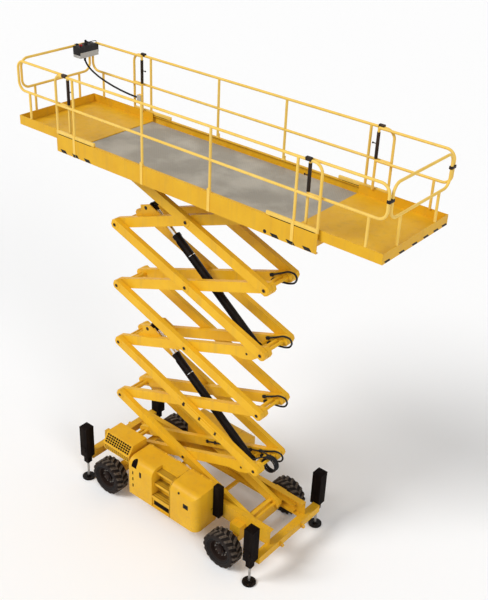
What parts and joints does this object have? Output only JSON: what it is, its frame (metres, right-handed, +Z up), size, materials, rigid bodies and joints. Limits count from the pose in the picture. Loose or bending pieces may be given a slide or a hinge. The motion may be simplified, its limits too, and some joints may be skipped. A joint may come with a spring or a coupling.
{
  "type": "scissor lift",
  "caption": "Rough-terrain scissor lift: crossed arm stack with lift cylinders, railed deck extending both ways, lugged wheels, levelling jacks and hinged side covers",
  "frame": {"origin": "on the ground under the middle of the deck", "axes": "+X along the machine toward the steered axle, +Y across it away from the side with the hose guard, +Z up"},
  "size_m": [7.31, 2.2098, 8.0904],
  "materials": {
    "yellow": "gloss",
    "black": "satin",
    "rod": "polished",
    "tyre": "matte",
    "rim": "satin",
    "steel": "worn",
    "deck": "matte",
    "engine": "matte",
    "box": "matte",
    "cable": "matte"
  },
  "bodies": {
    "chassis": {"chassis_frame": "yellow", "rail_near": "yellow", "rail_far": "yellow", "jack_boxes": "black", "axle_front": "yellow", "axle_rear": "yellow", "engine": "engine", "side_pods": "yellow", "grille_cover": "yellow", "hose_guard": "black"},
    "inner_1": {"inner_arms_1": "yellow"},
    "outer_1": {"outer_arms_1": "yellow"},
    "inner_2": {"inner_arms_2": "yellow"},
    "outer_2": {"outer_arms_2": "yellow"},
    "inner_3": {"inner_arms_3": "yellow"},
    "outer_3": {"outer_arms_3": "yellow"},
    "inner_4": {"inner_arms_4": "yellow"},
    "outer_4": {"outer_arms_4": "yellow"},
    "inner_5": {"inner_arms_5": "yellow"},
    "outer_5": {"outer_arms_5": "yellow"},
    "lower_barrel": {"lower_barrel": "black"},
    "lower_rod": {"lower_rod": "rod"},
    "upper_barrel": {"upper_barrel": "black"},
    "upper_rod": {"upper_rod": "rod"},
    "platform": {"side_beams": "yellow", "deck_joists": "yellow", "deck_runners": "yellow", "main_deck": "deck", "rails_near": "yellow", "rails_far": "yellow"},
    "extension_left": {"extension_left": "yellow", "rails_left": "yellow", "end_rail_left": "yellow", "control_box": "box", "cable": "cable"},
    "extension_right": {"extension_right": "yellow", "rails_right": "yellow", "end_rail_right": "yellow"},
    "cover_near_rear": {"cover_near_rear": "yellow"},
    "cover_near_front": {"cover_near_front": "yellow"},
    "cover_far_rear": {"cover_far_rear": "yellow"},
    "cover_far_front": {"cover_far_front": "yellow"},
    "jack_front_near": {"jack_front_near": "steel"},
    "jack_front_far": {"jack_front_far": "steel"},
    "jack_rear_near": {"jack_rear_near": "steel"},
    "jack_rear_far": {"jack_rear_far": "steel"},
    "knuckle_near": {"knuckle_near": "engine"},
    "knuckle_far": {"knuckle_far": "engine"},
    "wheel_front_near": {"tyre_front_near": "tyre", "rim_front_near": "rim"},
    "wheel_front_far": {"tyre_front_far": "tyre", "rim_front_far": "rim"},
    "wheel_rear_near": {"tyre_rear_near": "tyre", "rim_rear_near": "rim"},
    "wheel_rear_far": {"tyre_rear_far": "tyre", "rim_rear_far": "rim"}
  },
  "joints": [
    {"name": "lift", "type": "hinge", "parent": "chassis", "child": "inner_1", "pos_m": [-1.867, 0, 0.67], "axis": [0, -1, 0], "range_deg": [-16, 38]},
    {"name": "middle_1", "type": "hinge", "parent": "inner_1", "child": "outer_1", "pos_m": [-0.22254, 0, 1.26853], "axis": [0, 1, 0], "range_deg": [-32, 76]},
    {"name": "left_1", "type": "hinge", "parent": "outer_1", "child": "inner_2", "pos_m": [-1.867, 0, 1.86707], "axis": [0, -1, 0], "range_deg": [-32, 76]},
    {"name": "middle_2", "type": "hinge", "parent": "inner_2", "child": "outer_2", "pos_m": [-0.22254, 0, 2.46561], "axis": [0, 1, 0], "range_deg": [-32, 76]},
    {"name": "left_2", "type": "hinge", "parent": "outer_2", "child": "inner_3", "pos_m": [-1.867, 0, 3.06414], "axis": [0, -1, 0], "range_deg": [-32, 76]},
    {"name": "middle_3", "type": "hinge", "parent": "inner_3", "child": "outer_3", "pos_m": [-0.22254, 0, 3.66268], "axis": [0, 1, 0], "range_deg": [-32, 76]},
    {"name": "left_3", "type": "hinge", "parent": "outer_3", "child": "inner_4", "pos_m": [-1.867, 0, 4.26121], "axis": [0, -1, 0], "range_deg": [-32, 76]},
    {"name": "middle_4", "type": "hinge", "parent": "inner_4", "child": "outer_4", "pos_m": [-0.22254, 0, 4.85975], "axis": [0, 1, 0], "range_deg": [-32, 76]},
    {"name": "left_4", "type": "hinge", "parent": "outer_4", "child": "inner_5", "pos_m": [-1.867, 0, 5.45828], "axis": [0, -1, 0], "range_deg": [-32, 76]},
    {"name": "middle_5", "type": "hinge", "parent": "inner_5", "child": "outer_5", "pos_m": [-0.22254, 0, 6.05682], "axis": [0, 1, 0], "range_deg": [-32, 76]},
    {"name": "deck_level", "type": "hinge", "parent": "outer_5", "child": "platform", "pos_m": [-1.867, 0, 6.65535], "axis": [0, -1, 0], "range_deg": [-16, 38]},
    {"name": "lower_barrel_pin", "type": "hinge", "parent": "inner_1", "child": "lower_barrel", "pos_m": [1.06494, 0, 1.68712], "axis": [0, 1, 0], "range_deg": [-31.2, 74.1]},
    {"name": "lower_rod_slide", "type": "slide", "parent": "lower_barrel", "child": "lower_rod", "axis": [-0.7958, 0, 0.6056], "range_m": [-0.52801, 1.25401]},
    {"name": "upper_barrel_pin", "type": "hinge", "parent": "inner_3", "child": "upper_barrel", "pos_m": [1.06494, 0, 4.08126], "axis": [0, 1, 0], "range_deg": [-35.04, 83.22]},
    {"name": "upper_rod_slide", "type": "slide", "parent": "upper_barrel", "child": "upper_rod", "axis": [-0.7958, 0, 0.6056], "range_m": [-0.57121, 1.35661]},
    {"name": "slide_left", "type": "slide", "parent": "platform", "child": "extension_left", "axis": [1, 0, 0], "range_m": [0, 1]},
    {"name": "slide_right", "type": "slide", "parent": "platform", "child": "extension_right", "axis": [-1, 0, 0], "range_m": [0, 1]},
    {"name": "cover_near_rear_hinge", "type": "hinge", "parent": "chassis", "child": "cover_near_rear", "pos_m": [0, -0.524, 1.25], "axis": [-1, 0, 0], "range_deg": [0, 60]},
    {"name": "cover_near_front_hinge", "type": "hinge", "parent": "chassis", "child": "cover_near_front", "pos_m": [0, -0.524, 1.25], "axis": [-1, 0, 0], "range_deg": [0, 60]},
    {"name": "cover_far_rear_hinge", "type": "hinge", "parent": "chassis", "child": "cover_far_rear", "pos_m": [0, 0.524, 1.25], "axis": [1, 0, 0], "range_deg": [0, 60]},
    {"name": "cover_far_front_hinge", "type": "hinge", "parent": "chassis", "child": "cover_far_front", "pos_m": [0, 0.524, 1.25], "axis": [1, 0, 0], "range_deg": [0, 60]},
    {"name": "jack_front_near_slide", "type": "slide", "parent": "chassis", "child": "jack_front_near", "axis": [0, 0, -1], "range_m": [-0.33, 0.2]},
    {"name": "jack_front_far_slide", "type": "slide", "parent": "chassis", "child": "jack_front_far", "axis": [0, 0, -1], "range_m": [-0.33, 0.2]},
    {"name": "jack_rear_near_slide", "type": "slide", "parent": "chassis", "child": "jack_rear_near", "axis": [0, 0, -1], "range_m": [-0.33, 0.2]},
    {"name": "jack_rear_far_slide", "type": "slide", "parent": "chassis", "child": "jack_rear_far", "axis": [0, 0, -1], "range_m": [-0.33, 0.2]},
    {"name": "steer_near", "type": "hinge", "parent": "chassis", "child": "knuckle_near", "pos_m": [1.244, -0.69, 0.353], "axis": [0, 0, 1], "range_deg": [-32, 32]},
    {"name": "steer_far", "type": "hinge", "parent": "chassis", "child": "knuckle_far", "pos_m": [1.244, 0.69, 0.353], "axis": [0, 0, 1], "range_deg": [-32, 32]},
    {"name": "spin_front_near", "type": "hinge", "parent": "knuckle_near", "child": "wheel_front_near", "pos_m": [1.244, -0.924, 0.353], "axis": [0, 1, 0], "continuous": true},
    {"name": "spin_front_far", "type": "hinge", "parent": "knuckle_far", "child": "wheel_front_far", "pos_m": [1.244, 0.924, 0.353], "axis": [0, 1, 0], "continuous": true},
    {"name": "spin_rear_near", "type": "hinge", "parent": "chassis", "child": "wheel_rear_near", "pos_m": [-1.624, -0.924, 0.353], "axis": [0, 1, 0], "continuous": true},
    {"name": "spin_rear_far", "type": "hinge", "parent": "chassis", "child": "wheel_rear_far", "pos_m": [-1.624, 0.924, 0.353], "axis": [0, 1, 0], "continuous": true}
  ],
  "couplings": [
    {"joint": "middle_1", "follows": "lift", "ratio": 2},
    {"joint": "left_1", "follows": "lift", "ratio": 2},
    {"joint": "middle_2", "follows": "lift", "ratio": 2},
    {"joint": "left_2", "follows": "lift", "ratio": 2},
    {"joint": "middle_3", "follows": "lift", "ratio": 2},
    {"joint": "left_3", "follows": "lift", "ratio": 2},
    {"joint": "middle_4", "follows": "lift", "ratio": 2},
    {"joint": "left_4", "follows": "lift", "ratio": 2},
    {"joint": "middle_5", "follows": "lift", "ratio": 2},
    {"joint": "deck_level", "follows": "lift", "ratio": 1},
    {"joint": "lower_barrel_pin", "follows": "lift", "ratio": 1.95},
    {"joint": "lower_rod_slide", "follows": "lift", "m_per_rad": 1.8908},
    {"joint": "upper_barrel_pin", "follows": "lift", "ratio": 2.19},
    {"joint": "upper_rod_slide", "follows": "lift", "m_per_rad": 2.0455},
    {"joint": "steer_far", "follows": "steer_near", "ratio": 1}
  ]
}
